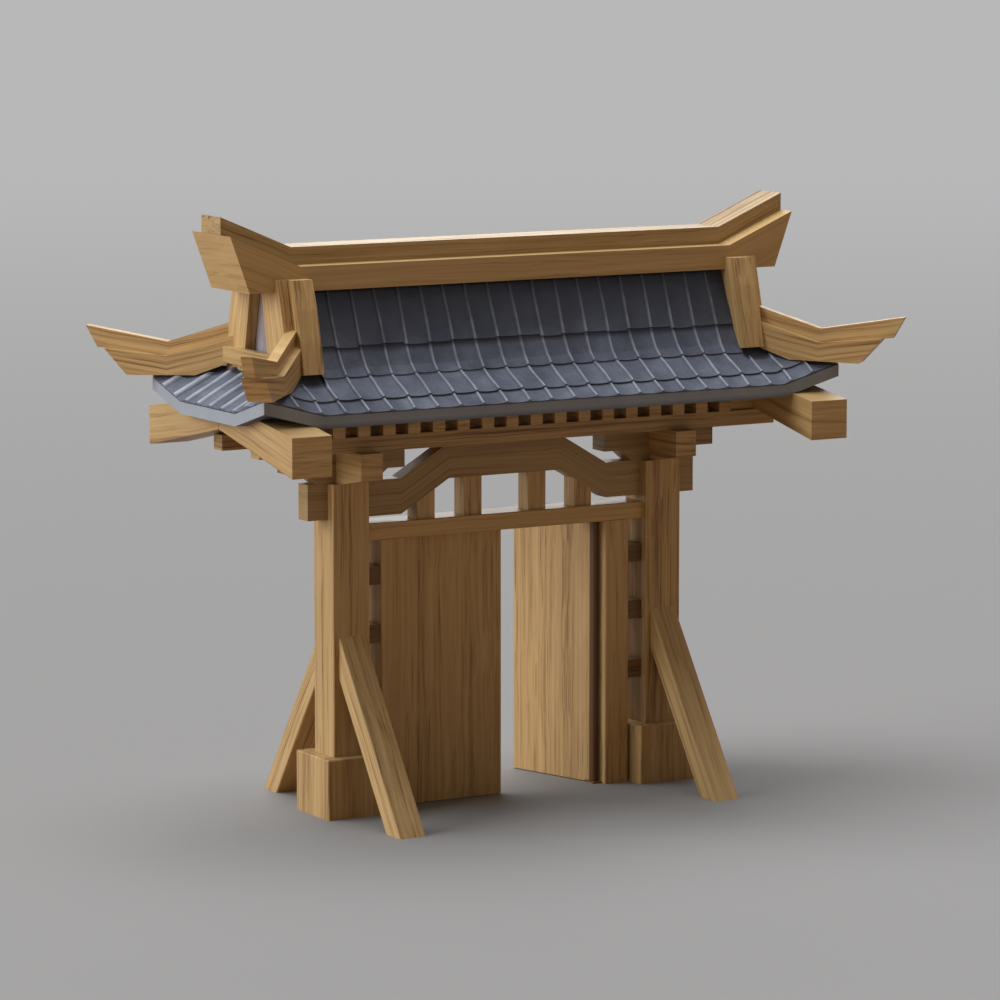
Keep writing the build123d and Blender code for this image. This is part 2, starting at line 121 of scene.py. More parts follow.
# Profiles that the grain follows in the bent timbers: distance along, height, in metres
TIE_PROFILE = ((0.567, 0.282), (1.045, 0))
RIDGE_PROFILE = ((2.163, 0), (2.83, 0.281))
END_BEAM_PROFILE = ((0, 0), (1.353, -0.25))
HIP_PROFILE = ((-0.09, 0.18), (0.565, 0), (1.319, 0.13))
BRACE_LEAN = 0.70
BATTEN_LEAN = 0.27

# The leaves' pivots, and the painted shade on the heel of the open leaf round its own
PIVOT_X = 0.985
HEEL_WIDTH = 0.055
HEEL_FADE = 0.012

# The clay's clouds and speckles, and the heights between which painted shade darkens it towards the ridge
CLOUD_NOISE = {"scale": 3.5, "detail": 4, "roughness": 0.6}
SPECKLE_NOISE = {"scale": 60, "detail": 3, "roughness": 0.7}
CLOUD_SHARE = 0.7
SPECKLE_SHARE = 0.3
CLAY_STOPS = (0.36, 0.5, 0.66)
CLAY_ROUGHEST = 0.7
CLAY_SMOOTHEST = 0.55
CLAY_SPECULAR = 0.3
SHADE_LOW = 3.95
SHADE_HIGH = 4.5
TILE_SHADE = 0.33

# The painted highlight on the tiles' crests, which fades towards the painted shade at the ridge, and the
# painted shade below their seams
CREST_HIGHLIGHT_NOISE = {"scale": 7, "detail": 2}
CREST_HIGHLIGHT_LEAST = 0.55
CREST_HIGHLIGHT_MOST = 1.1
CREST_HIGHLIGHT_HIGH_UP = 0.12
SEAM_SHADE_STRENGTH = 0.75

# The fascia's stains, the heights between which painted shade on its front and back faces deepens, and how
# its faces are told apart
STAIN_NOISE = {"scale": 2.5, "detail": 3}
STAIN_SHARE = 0.3
FASCIA_TOP = 3.58
FASCIA_FOOT = 3.50
FASCIA_TOP_SHADE = 0.25
FACING_FRONT = (0.6, 0.9)
FACING_UP = (0.2, 0.3)

# The gable walls' limewash
BRUSH_NOISE = {"scale": 9, "detail": 4, "roughness": 0.6}
BRUSH_STRETCH = 0.3
WALL_STOPS = (0.35, 0.65)
WALL_ROUGHNESS = 0.8

# Fine relief: its strength, and its depth in metres
WOOD_RELIEF = (0.2, 0.004)
CLAY_RELIEF = (0.15, 0.004)
WALL_RELIEF = (0.2, 0.003)

# Roof tiles: columns of shallow pans with a thin raised rib between them
COLUMN_WIDTH = 0.2247
RIB_WIDTH = 0.04
END_RIB_WIDTH = 0.10
RIB_HEIGHT = 0.020
RIB_CREST = 0.42
RIB_STEPS = 6
PAN_STEPS = 5
PAN_SAG = 0.008
CREST_SHARPNESS = 2
TILE_THICKNESS = 0.012
TILE_LAP = 0.03
TILE_LIFT = 0.011
TILE_SEAT = 0.005
TILE_BED = 0.001
TILE_DROP = 0.005
TILE_RISE = 0.003
SMALLEST_TILE = 0.012
BEND_REACH = 0.07
EAVE_INSET = 0.002
COURSE_ROWS = 6
RIB_WANDER = 0.006
WANDER_LENGTH = 0.42
TILE_SEED = 11

# The painted shade below a seam: its width, the rows of points in it as shares of that, and how much of a
# tile's length the lap and the painted shade take at most
SEAM_SHADE_WIDTH = 0.018
SEAM_SHADE_ROWS = (0.4, 1.4)
SEAM_MOST = 0.4

# Where the courses of tiles end, as distances from the ridge's line or from the middle
COURSE_EDGES = (0.30, 0.4755, 0.636, 0.906, 1.05)
END_EDGES = (2.412, 2.88)

# The roof in plan: the battens' inner faces, the corners, and the hip beams' lines
BATTEN_INNER_X = 2.12
BATTEN_FOOT_Y = 0.70
CORNER_X = 2.88
CORNER_Y = 1.06
HIP_ROOT = (2.367, 0.545)
HIP_ANGLE = math.radians(47)

# How far from a hip beam's middle the tiles stop, the share of it that stays where the beam has
# lifted off the roof, and where it lifts
HIP_HIDDEN = 0.09
HIP_HIDDEN_LEAST = 0.25
HIP_LIFT_START = 2.55
HIP_LIFT_END = 2.85

# Steps of the search for how far across a tile can reach
HALVINGS = 24

# The boards that close the eave beside the last joists
CLOSER_INSET = 0.02
CLOSER_THICKNESS = 0.03

# The floor fades into the backdrop's grey between these distances from the gate
FLOOR_REACH = 1500
FADE_START = 3
FADE_END = 85
FLOOR_ROUGHNESS = 0.7

# The world's strength as light on the object, and as it is seen
AMBIENT = 0.07
SEEN_SKY = 0.62

# One side of the roof: whether it runs along X, which way it faces, the nearest and furthest edge
# of its tiles, how far it reaches from the middle, and how wide its ribs are
Slope = namedtuple("Slope", "along_x side bounds reach rib_width")

# The axes that a beam's grain can run along
X, Y = 0, 1


def node(tree, kind, *inputs, **settings):
    """Adds a shader node, sets or links its inputs in order, and returns it."""
    made = tree.nodes.new(kind)
    for name, value in settings.items():
        setattr(made, name, value)
    for index, value in enumerate(inputs):
        put(tree, made.inputs[index], value)
    return made


def put(tree, socket, value):
    """Links a socket to another socket, or sets its value."""
    if isinstance(value, bpy.types.NodeSocket):
        tree.links.new(value, socket)
    elif isinstance(value, tuple) and socket.type == "RGBA":
        socket.default_value = (*value, 1)
    else:
        socket.default_value = value


def maths(tree, operation, *inputs):
    """The result of a sum, a product or the like."""
    return node(tree, "ShaderNodeMath", *inputs, operation=operation).outputs[0]


def weighted(tree, first, first_weight, second, second_weight):
    """The sum of two values, each times its weight."""
    rest = maths(tree, "MULTIPLY", second, second_weight)
    return maths(tree, "MULTIPLY_ADD", first, first_weight, rest)


def remap(tree, value, start, end, low=0, high=1, **settings):
    """Maps start to low and end to high, and holds the value between them."""
    return node(tree, "ShaderNodeMapRange", value, start, end, low, high, **settings).outputs[0]


def combine(tree, x, y, z):
    """A vector from its three parts."""
    return node(tree, "ShaderNodeCombineXYZ", x, y, z).outputs[0]


def parts_of(tree, vector):
    """The x, y and z of a vector."""
    return node(tree, "ShaderNodeSeparateXYZ", vector).outputs


def length_of(tree, x, y):
    """The length of a level vector."""
    return node(tree, "ShaderNodeVectorMath", combine(tree, x, y, 0.0), operation="LENGTH").outputs["Value"]


def surface_point(tree):
    """The surface point in the frame, in metres."""
    return node(tree, "ShaderNodeTexCoord").outputs["Object"]


def place(tree):
    """The x, y and z of the surface point in the frame, in metres."""
    return parts_of(tree, surface_point(tree))


def painted(tree, name):
    """A value that the mesh carries on its vertices."""
    return node(tree, "ShaderNodeAttribute", attribute_name=name).outputs["Fac"]


def ramp(tree, factor, positions, colours):
    """A colour ramp with a colour at each position."""
    made = node(tree, "ShaderNodeValToRGB", factor)
    elements = made.color_ramp.elements
    while len(elements) < len(positions):
        elements.new(0.5)
    for element, position, colour in zip(elements, positions, colours):
        element.position = position
        element.color = (*colour, 1)
    return made.outputs[0]


def noise(tree, vector, scale, detail=2, roughness=0.5, distortion=0):
    """Soft noise over the surface."""
    made = node(tree, "ShaderNodeTexNoise", vector)
    put(tree, made.inputs["Scale"], scale)
    put(tree, made.inputs["Detail"], detail)
    put(tree, made.inputs["Roughness"], roughness)
    put(tree, made.inputs["Distortion"], distortion)
    return made.outputs["Fac"]


def mix_colour(tree, share, first, second, **settings):
    """The first colour where the share is 0, and the second where it is 1."""
    made = node(tree, "ShaderNodeMix", data_type="RGBA", **settings)
    put(tree, made.inputs["Factor"], share)
    put(tree, made.inputs["A"], first)
    put(tree, made.inputs["B"], second)
    return made.outputs["Result"]


def scaled(colour, factor):
    """A colour, lighter or darker by a factor."""
    return tuple(factor * channel for channel in colour)


def material(name):
    """A new material with its node tree and its Principled shader."""
    made = bpy.data.materials.new(name)
    made.use_nodes = True
    return made, made.node_tree, made.node_tree.nodes["Principled BSDF"]


def relieve(tree, shader, height, strength, depth):
    """Gives a surface fine relief from a height."""
    bump = node(tree, "ShaderNodeBump")
    put(tree, bump.inputs["Strength"], strength)
    put(tree, bump.inputs["Distance"], depth)
    put(tree, bump.inputs["Height"], height)
    put(tree, shader.inputs["Normal"], bump.outputs[0])


def seen_directly(tree):
    """1 for camera, glossy and transmission rays, 0 for light that falls on the object."""
    path = node(tree, "ShaderNodeLightPath").outputs
    both = maths(tree, "MAXIMUM", path["Is Camera Ray"], path["Is Glossy Ray"])
    return maths(tree, "MAXIMUM", both, path["Is Transmission Ray"])


def bend(tree, distance, profile):
    """Height of a bent timber's line at a distance along it, from its profile's points."""
    height = profile[0][1]
    for (start, low), (end, high) in zip(profile, profile[1:]):
        step = remap(tree, distance, start, end, 0, high - low)
        height = maths(tree, "ADD", step, height)
    return height


def grain_upright(tree):
    """Grain of a timber that stands upright."""
    x, y, z = place(tree)
    return x, y, z, (GRAIN_LAYER, GRAIN_LAYER, GRAIN_ALONG)


def grain_leaning(lean):
    """Grain of a timber that leans in towards the middle as it rises."""

    def grain(tree):
        x, y, z = place(tree)
        away = maths(tree, "ABSOLUTE", y)
        return x, maths(tree, "MULTIPLY_ADD", z, lean, away), z, (GRAIN_WIDE, GRAIN_LAYER, GRAIN_ALONG)

    return grain


def grain_along(axis, profile=(), side=GRAIN_SIDE):
    """Grain of a beam along an axis, following its bend."""
    stretch = (GRAIN_ALONG, side, GRAIN_LAYER) if axis == X else (side, GRAIN_ALONG, GRAIN_LAYER)

    def grain(tree):
        x, y, z = place(tree)
        if profile:
            distance = maths(tree, "ABSOLUTE", (x, y)[axis])
            z = maths(tree, "SUBTRACT", z, bend(tree, distance, profile))
        return x, y, z, stretch

    return grain


def grain_along_hip(tree):
    """Grain of the hip beams, which run out from the gables and bend up at their ends."""
    x, y, z = place(tree)
    cosine, sine = math.cos(HIP_ANGLE), math.sin(HIP_ANGLE)
    out_x = maths(tree, "SUBTRACT", maths(tree, "ABSOLUTE", x), HIP_ROOT[0])
    out_y = maths(tree, "SUBTRACT", maths(tree, "ABSOLUTE", y), HIP_ROOT[1])
    run = weighted(tree, out_x, cosine, out_y, sine)
    across = weighted(tree, out_x, sine, out_y, -cosine)
    level = maths(tree, "SUBTRACT", z, bend(tree, run, HIP_PROFILE))
    return run, across, level, (GRAIN_ALONG, GRAIN_SIDE, GRAIN_LAYER)


def along_grain(tree, grain, offset):
    """Where a surface point lies in the pattern, which sways slowly across the layers."""
    x, y, z, stretch = grain(tree)
    point = combine(tree, x, y, z)
    mapping = node(tree, "ShaderNodeMapping", point)
    put(tree, mapping.inputs["Location"], offset)
    put(tree, mapping.inputs["Scale"], stretch)
    sway = noise(tree, point, GRAIN_SWAY_SCALE, detail=1)
    shift = maths(tree, "MULTIPLY_ADD", sway, GRAIN_SWAY, -0.5 * GRAIN_SWAY)
    shifts = [maths(tree, "MULTIPLY", shift, scale) if scale > 1 else 0.0 for scale in stretch]
    swayed = node(tree, "ShaderNodeVectorMath", mapping.outputs[0], combine(tree, *shifts), operation="ADD")
    return swayed.outputs["Vector"]


def wood(name, grain, offset, contrast, light):
    """Sawn timber: broad bands, long soft streaks, fine lines and dark veins, all along the grain."""
    made, tree, shader = material(name)
    along = along_grain(tree, grain, offset)
    band = noise(tree, along, **BAND_NOISE)
    streak = noise(tree, along, **STREAK_NOISE)
    fine = noise(tree, along, **FINE_NOISE)
    vein = noise(tree, along, **VEIN_NOISE)
    tone = weighted(tree, streak, STREAK_SHARE, band, BAND_SHARE)
    tone = maths(tree, "MULTIPLY_ADD", fine, FINE_SHARE, tone)
    tone = remap(tree, tone, 0, 1, 0.5 - 0.5 * contrast, 0.5 + 0.5 * contrast)
    # Each part's wood is drawn lighter or darker by its factor, which in part paints its light and shade
    shades = [scaled(shade, light) for shade in (WOOD_DARK, WOOD_MIDDLE, WOOD_LIGHT)]
    colour = ramp(tree, tone, WOOD_STOPS, shades)
    tint = ramp(tree, vein, VEIN_STOPS, (VEIN_TINT, WHITE))
    veined = mix_colour(tree, VEIN_STRENGTH * contrast, colour, tint, blend_type="MULTIPLY")
    put(tree, shader.inputs["Base Color"], veined)
    rough = remap(tree, streak, NOISE_LOW, NOISE_HIGH, WOOD_ROUGHEST, WOOD_SMOOTHEST)
    put(tree, shader.inputs["Roughness"], rough)
    put(tree, shader.inputs["Specular IOR Level"], WOOD_SPECULAR)
    raised = maths(tree, "ADD", maths(tree, "MULTIPLY", fine, FINE_RELIEF), streak)
    relieve(tree, shader, raised, *WOOD_RELIEF)
    return made


def paint_heel_shade(made):
    """Paints shade on a leaf's heel, the strip beside its pivot."""
    tree = made.node_tree
    base = tree.nodes["Principled BSDF"].inputs["Base Color"]
    plain = base.links[0].from_socket
    x, y, _ = place(tree)
    from_pivot = maths(tree, "SUBTRACT", maths(tree, "ABSOLUTE", x), PIVOT_X)
    heel_shade = remap(tree, length_of(tree, from_pivot, y), HEEL_WIDTH - HEEL_FADE, HEEL_WIDTH, 1, 0)
    put(tree, base, mix_colour(tree, heel_shade, plain, HEEL_PAINTED_SHADE))


def dark_streaked_wood(name):
    """Dark timber of the rungs and the pivots' shoes."""
    made, tree, shader = material(name)
    x, y, z = place(tree)
    y = maths(tree, "MULTIPLY", y, RUNG_STRETCH_Y)
    z = maths(tree, "MULTIPLY", z, RUNG_STRETCH_Z)
    lines = noise(tree, combine(tree, x, y, z), **RUNG_NOISE)
    colour = ramp(tree, lines, RUNG_STOPS, (scaled(RUNG_WOOD, RUNG_SHADE), RUNG_WOOD))
    put(tree, shader.inputs["Base Color"], colour)
    put(tree, shader.inputs["Roughness"], RUNG_ROUGHNESS)
    put(tree, shader.inputs["Specular IOR Level"], WOOD_SPECULAR)
    return made


def clay(tree, shader, point):
    """Sheen and relief of fired grey clay. Returns its colour, darker towards the ridge with painted shade.
    """
    cloud = noise(tree, point, **CLOUD_NOISE)
    speckle = noise(tree, point, **SPECKLE_NOISE)
    rough = remap(tree, cloud, NOISE_LOW, NOISE_HIGH, CLAY_ROUGHEST, CLAY_SMOOTHEST)
    put(tree, shader.inputs["Roughness"], rough)
    put(tree, shader.inputs["Specular IOR Level"], CLAY_SPECULAR)
    relieve(tree, shader, speckle, *CLAY_RELIEF)
    tone = weighted(tree, speckle, SPECKLE_SHARE, cloud, CLOUD_SHARE)
    colour = ramp(tree, tone, CLAY_STOPS, (TILE_DARK, TILE_MIDDLE, TILE_LIGHT))
    height = parts_of(tree, point)["Z"]
    # Painted shade, darkening the clay towards the ridge
    ridge_shade = remap(tree, height, SHADE_LOW, SHADE_HIGH, interpolation_type="SMOOTHSTEP")
    return mix_colour(tree, ridge_shade, colour, scaled(TILE_MIDDLE, TILE_SHADE))


def tile_finish(name):
    """Roof tile, with a painted highlight along the crests of its ribs and painted shade below each seam.
    """
    made, tree, shader = material(name)
    point = surface_point(tree)
    colour = clay(tree, shader, point)
    height = parts_of(tree, point)["Z"]
    # The painted highlight on the crests fades towards the painted shade at the ridge
    below_ridge_shade = remap(tree, height, SHADE_LOW, SHADE_HIGH, 1, CREST_HIGHLIGHT_HIGH_UP)
    patch = remap(tree, noise(tree, point, **CREST_HIGHLIGHT_NOISE), NOISE_LOW, NOISE_HIGH, CREST_HIGHLIGHT_LEAST, CREST_HIGHLIGHT_MOST)
    crest_highlight = maths(tree, "MULTIPLY", maths(tree, "MULTIPLY", painted(tree, "crest"), patch), below_ridge_shade)
    colour = mix_colour(tree, crest_highlight, colour, TILE_CREST_HIGHLIGHT)
    # Painted shade on the rows just below each seam
    seam_shade = maths(tree, "MULTIPLY", painted(tree, "seam_shade"), SEAM_SHADE_STRENGTH)
    put(tree, shader.inputs["Base Color"], mix_colour(tree, seam_shade, colour, TILE_SEAM_SHADE))
    return made


def roof_finish_under(name):
    """The roof under the tiles: clay on its slopes, and a smooth stained fascia on its upright edges, with
    painted shade on its front and back faces.
    """
    made, tree, shader = material(name)
    point = surface_point(tree)
    colour = clay(tree, shader, point)
    stained = noise(tree, point, **STAIN_NOISE)
    height = parts_of(tree, point)["Z"]
    normal = parts_of(tree, node(tree, "ShaderNodeNewGeometry").outputs["Normal"])
    # Painted shade on the fascia's front and back faces, more of it towards their foot
    lengthwise = remap(tree, maths(tree, "ABSOLUTE", normal["Y"]), *FACING_FRONT)
    foot = remap(tree, height, FASCIA_TOP, FASCIA_FOOT, FASCIA_TOP_SHADE, 1)
    stain_and_shade = maths(tree, "MULTIPLY_ADD", stained, STAIN_SHARE, maths(tree, "MULTIPLY", lengthwise, foot))
    fascia = mix_colour(tree, stain_and_shade, FASCIA_GREY, FASCIA_STAIN_AND_SHADE)
    sloping = remap(tree, maths(tree, "ABSOLUTE", normal["Z"]), *FACING_UP)
    put(tree, shader.inputs["Base Color"], mix_colour(tree, sloping, fascia, colour))
    return made


def plaster(name):
    """Limewashed gable wall, brushed up and down."""
    made, tree, shader = material(name)
    x, y, z = place(tree)
    z = maths(tree, "MULTIPLY", z, BRUSH_STRETCH)
    brushed = noise(tree, combine(tree, x, y, z), **BRUSH_NOISE)
    put(tree, shader.inputs["Base Color"], ramp(tree, brushed, WALL_STOPS, (WALL_DARK, WALL_LIGHT)))
    put(tree, shader.inputs["Roughness"], WALL_ROUGHNESS)
    relieve(tree, shader, brushed, *WALL_RELIEF)
    return made


def floor_finish(name):
    """Plain grey floor that fades into the backdrop's grey far from the gate."""
    made, tree, shader = material(name)
    seen = seen_directly(tree)
    put(tree, shader.inputs["Base Color"], mix_colour(tree, seen, FLOOR_BOUNCE, FLOOR_GREY))
    put(tree, shader.inputs["Roughness"], FLOOR_ROUGHNESS)
    put(tree, shader.inputs["Specular IOR Level"], 0)
    x, y, _ = place(tree)
    far = remap(tree, length_of(tree, x, y), FADE_START, FADE_END, interpolation_type="SMOOTHSTEP")
    glow = node(tree, "ShaderNodeEmission", FAR_GREY, 1.0).outputs[0]
    mixed = node(tree, "ShaderNodeMixShader", maths(tree, "MULTIPLY", far, seen), shader.outputs[0], glow)
    put(tree, tree.nodes["Material Output"].inputs["Surface"], mixed.outputs[0])
    return made


def finish_node(name, finish):
    """Gives a CAD node its material."""
    mesh = nodes[name].data
    mesh.materials.clear()
    mesh.materials.append(finish)


def make_object(name, mesh, finish):
    """A new object from a mesh that is being built, in one material."""
    data = bpy.data.meshes.new(name)
    mesh.to_mesh(data)
    mesh.free()
    data.materials.append(finish)
    made = bpy.data.objects.new(name, data)
    bpy.context.scene.collection.objects.link(made)
    return made


# Timber finishes: how the grain runs, how strongly it shows, how light the wood is drawn, which in part
# paints the light and shade that each part gets, and the nodes
timbers = {
    "post_timber": (grain_upright, 0.9, 1.0, ("base_block_", "post_", "transom_struts")),
    "jamb_timber": (grain_upright, 0.6, 1.02, ("jamb_left", "jamb_right")),
    "beam_timber": (grain_along(X), 0.9, 0.88, ("purlin_", "ceiling_boards")),
    "bracket_timber": (grain_along(X), 0.8, 0.62, ("bracket_x_",)),
    "lintel_timber": (grain_along(X), 0.5, 1.08, ("lintel",)),
    "cross_timber": (grain_along(Y), 0.9, 1.0, ("bracket_y_", "joists", "gable_foot_")),
    "tie_timber": (grain_along(X, TIE_PROFILE), 0.7, 0.72, ("tie_beam",)),
    "ridge_timber": (grain_along(X, RIDGE_PROFILE), 0.45, 1.08, ("ridge_beam",)),
    "cap_timber": (grain_along(X, RIDGE_PROFILE, GRAIN_TOP), 1.1, 0.8, ("ridge_cap",)),
    "end_timber": (grain_along(Y, END_BEAM_PROFILE), 0.8, 1.02, ("end_beam_",)),
    "brace_timber": (grain_leaning(BRACE_LEAN), 1.0, 1.0, ("brace_",)),
    "batten_timber": (grain_leaning(BATTEN_LEAN), 1.0, 1.15, ("gable_battens_", "gable_boards_")),
    "hip_timber": (grain_along_hip, 0.95, 1.15, ("hip_",)),
    "leaf_timber": (grain_upright, 0.8, 1.02, ("leaf_left",)),
    "open_leaf_timber": (grain_upright, 0.75, 1.08, ("leaf_right",)),
}
finishes = {}
for order, (name, (grain, contrast, light, starts)) in enumerate(timbers.items()):
    finishes[name] = wood(name, grain, order * GRAIN_STEP, contrast, light)
    for cad_name in nodes:
        if cad_name.startswith(starts):
            finish_node(cad_name, finishes[name])
# Painted shade on the open leaf's heel, beside its pivot
paint_heel_shade(finishes["open_leaf_timber"])

# The rungs, the pivots' shoes, the gable walls and the roof under its tiles
dark_timber = dark_streaked_wood("rung_timber")
finish_node("jamb_rungs", dark_timber)
finish_node("pivot_shoes", dark_timber)
finish_node("gable_walls", plaster("gable_plaster"))
roof_nodes = ("roof_front", "roof_back", "roof_left", "roof_right")
roof_clay = roof_finish_under("roof_clay")
roof_mesh = bmesh.new()
for cad_name in roof_nodes:
    finish_node(cad_name, roof_clay)
    roof_mesh.from_mesh(nodes[cad_name].data)

# Roof tiles, seated on the roof
roof_tree = BVHTree.FromBMesh(roof_mesh)
roof_mesh.free()
ABOVE_ROOF = cad_high.z + 1
tile_clay = tile_finish("tile_clay")


def on_roof(x, y):
    """The point of the roof's top surface under (x, y), and the surface's normal there."""
    point, normal, _, _ = roof_tree.ray_cast(Vector((x, y, ABOVE_ROOF)), Vector((0, 0, -1)))
    return point, normal


def tile_bed(slope, across, down):
    """A point of the tiles' bed: the roof's surface, eased over where its slope changes."""
    reach = max(min(BEND_REACH, slope.bounds(0)[1] - down - EAVE_INSET), 0)
    found = []
    for step in (-reach, 0, reach):
        out = slope.side * (down + step)
        found.append(on_roof(across, out) if slope.along_x else on_roof(out, across))
    middle = found[1][0]
    rise = sum(point.z / len(found) for point, _ in found)
    total = sum((normal for _, normal in found), Vector())
    return Vector((middle.x, middle.y, max(rise, middle.z))), total.normalized()


def rib_height(share, rib_width):
    """Height of a tile over its pan, at a share of its width: a rib, then a shallow pan."""
    rib_share = rib_width / COLUMN_WIDTH
    if share < rib_share:
        along = share / rib_share
        if along < RIB_CREST:
            return RIB_HEIGHT * math.sin(along / RIB_CREST * math.pi / 2)
        return RIB_HEIGHT * math.cos((along - RIB_CREST) / (1 - RIB_CREST) * math.pi / 2)
    return -PAN_SAG * math.sin((share - rib_share) / (1 - rib_share) * math.pi)


def places_across(rib_width, start, low, high):
    """Where a tile's points lie across it, from its low to its high side."""
    rib_share = rib_width / COLUMN_WIDTH
    shares = [rib_share * step / RIB_STEPS for step in range(RIB_STEPS + 1)]
    shares += [rib_share + (1 - rib_share) * step / PAN_STEPS for step in range(1, PAN_STEPS + 1)]
    places = [start + share * COLUMN_WIDTH for share in shares]
    return [low] + [value for value in places if low < value < high] + [high]


def rows_down(length):
    """Where a tile's rows of points lie down it, as shares of its length."""
    rows = [0.0] + [TILE_LAP + SEAM_SHADE_WIDTH * step for step in SEAM_SHADE_ROWS]
    rows = [min(row / length, SEAM_MOST) for row in rows]
    return rows + [rows[-1] + (1 - rows[-1]) * step / COURSE_ROWS for step in range(1, COURSE_ROWS + 1)]


def hip_hidden(outward):
    """How far from a hip beam's middle the tiles stop: nearer to it where it lifts off the roof."""
    seated = (HIP_LIFT_END - outward) / (HIP_LIFT_END - HIP_LIFT_START)
    return HIP_HIDDEN * min(1, max(HIP_HIDDEN_LEAST, seated))


def front_bounds(across):
    """Nearest and furthest y of tiles on a long side, at a distance across from the middle."""
    along_hip = (across - HIP_ROOT[0]) * math.tan(HIP_ANGLE)
    hip_y = HIP_ROOT[1] + along_hip + hip_hidden(across) / math.cos(HIP_ANGLE)
    return max(hip_y, BATTEN_FOOT_Y if across > BATTEN_INNER_X else 0), COURSE_EDGES[-1]


def end_bounds(across):
    """Nearest and furthest x of tiles on an end skirt, at a distance across from the middle."""
    along_hip = (across - HIP_ROOT[1]) / math.tan(HIP_ANGLE)
    hip_x = HIP_ROOT[0] + along_hip + hip_hidden(HIP_ROOT[0] + along_hip) / math.sin(HIP_ANGLE)
    return max(hip_x, END_EDGES[0]), END_EDGES[-1]


def furthest_across(slope, bottom):
    """How far from the middle a tile whose lower edge is at bottom can reach."""
    low, high = 0.0, slope.reach
    for _ in range(HALVINGS):
        middle = (low + high) / 2
        if slope.bounds(middle)[0] < bottom - SMALLEST_TILE:
            low = middle
        else:
            high = middle
    return low


def wander(phase, down):
    """Sideways wander of a rib at a distance down the slope."""
    return RIB_WANDER * math.sin(down / WANDER_LENGTH * math.tau + phase)


def close_tile(mesh, grid):
    """Makes a closed solid of a grid of upper and lower points."""

    def close_edge(first, second):
        mesh.faces.new((first[0], second[0], second[1], first[1]))

    last = len(grid[0]) - 1
    for row, next_row in zip(grid, grid[1:]):
        for step in range(last):
            corners = (row[step], row[step + 1], next_row[step + 1], next_row[step])
            mesh.faces.new([upper for upper, _ in corners])
            mesh.faces.new([lower for _, lower in reversed(corners)])
        for end in (0, last):
            close_edge(row[end], next_row[end])
    for row in (grid[0], grid[-1]):
        for step in range(last):
            close_edge(row[step], row[step + 1])


def lay_tile(mesh, layers, slope, column, top, bottom, phases, rng):
    """One tile as a closed solid, cut to the hip where it meets it."""
    crest, seam_shade = layers
    edge = slope.bounds(0)[1]
    at_eave = bottom >= edge
    drop = rng.uniform(-TILE_DROP, TILE_DROP)
    rise = 0 if at_eave else rng.uniform(0, TILE_RISE)
    lift = 0 if at_eave else TILE_LIFT
    bottom = edge - EAVE_INSET if at_eave else bottom + drop
    limit = furthest_across(slope, bottom)
    start = (column + 0.5) * COLUMN_WIDTH
    low, high = max(start, -limit), min(start + COLUMN_WIDTH, limit)
    if high - low < SMALLEST_TILE:
        return
    rows = rows_down(bottom - top)
    grid = []
    for row, share_down in enumerate(rows):
        line = []
        for value in places_across(slope.rib_width, start, low, high):
            share = (value - start) / COLUMN_WIDTH
            upper_end = min(max(top, slope.bounds(abs(value))[0]), bottom - SMALLEST_TILE / 2)
            down = upper_end + (bottom - upper_end) * share_down
            left, right = wander(phases[column], down), wander(phases[column + 1], down)
            across = value + left + (right - left) * share
            point, normal = tile_bed(slope, across, down)
            seat = TILE_SEAT + rise + lift * share_down
            height = rib_height(share, slope.rib_width)
            bed = TILE_BED if at_eave and row == len(rows) - 1 else seat + height
            upper = mesh.verts.new(point + normal * (seat + TILE_THICKNESS + height))
            lower = mesh.verts.new(point + normal * bed)
            # Masks for the painted highlight on the ribs' crests and the painted shade below each seam
            upper[crest] = max(0.0, height / RIB_HEIGHT) ** CREST_SHARPNESS
            upper[seam_shade] = 1.0 if row < len(SEAM_SHADE_ROWS) and top > COURSE_EDGES[0] else 0.0
            line.append((upper, lower))
        grid.append(line)
    close_tile(mesh, grid)


def lay_slope(name, slope, edges, seed):
    """All the tiles of one side of the roof, as one joined mesh."""
    rng = random.Random(seed)
    mesh = bmesh.new()
    layers = [mesh.verts.layers.float.new(layer) for layer in ("crest", "seam_shade")]
    last_column = math.ceil(slope.reach / COLUMN_WIDTH)
    columns = range(-last_column - 1, last_column + 1)
    phases = {column: rng.uniform(0, math.tau) for column in (*columns, columns[-1] + 1)}
    for course, (top, bottom) in enumerate(zip(edges, edges[1:])):
        upper = top - (TILE_LAP if course else 0)
        for column in columns:
            lay_tile(mesh, layers, slope, column, upper, bottom, phases, rng)
    bmesh.ops.recalc_face_normals(mesh, faces=mesh.faces)
    made = make_object(name, mesh, tile_clay)
    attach(made, "gate_frame")


for side_name, side in (("front", -1), ("back", 1)):
    slope = Slope(True, side, front_bounds, CORNER_X, RIB_WIDTH)
    lay_slope(f"tiles_{side_name}", slope, COURSE_EDGES, TILE_SEED + side)
for side_name, side in (("left", -1), ("right", 1)):
    slope = Slope(False, side, end_bounds, CORNER_Y, END_RIB_WIDTH)
    lay_slope(f"tiles_{side_name}", slope, END_EDGES, 2 * TILE_SEED + side)


def node_box(name):
    """The lowest and highest corner of a CAD node."""
    corners = [nodes[name].matrix_world @ vertex.co for vertex in nodes[name].data.vertices]
    return Vector(map(min, *corners)), Vector(map(max, *corners))


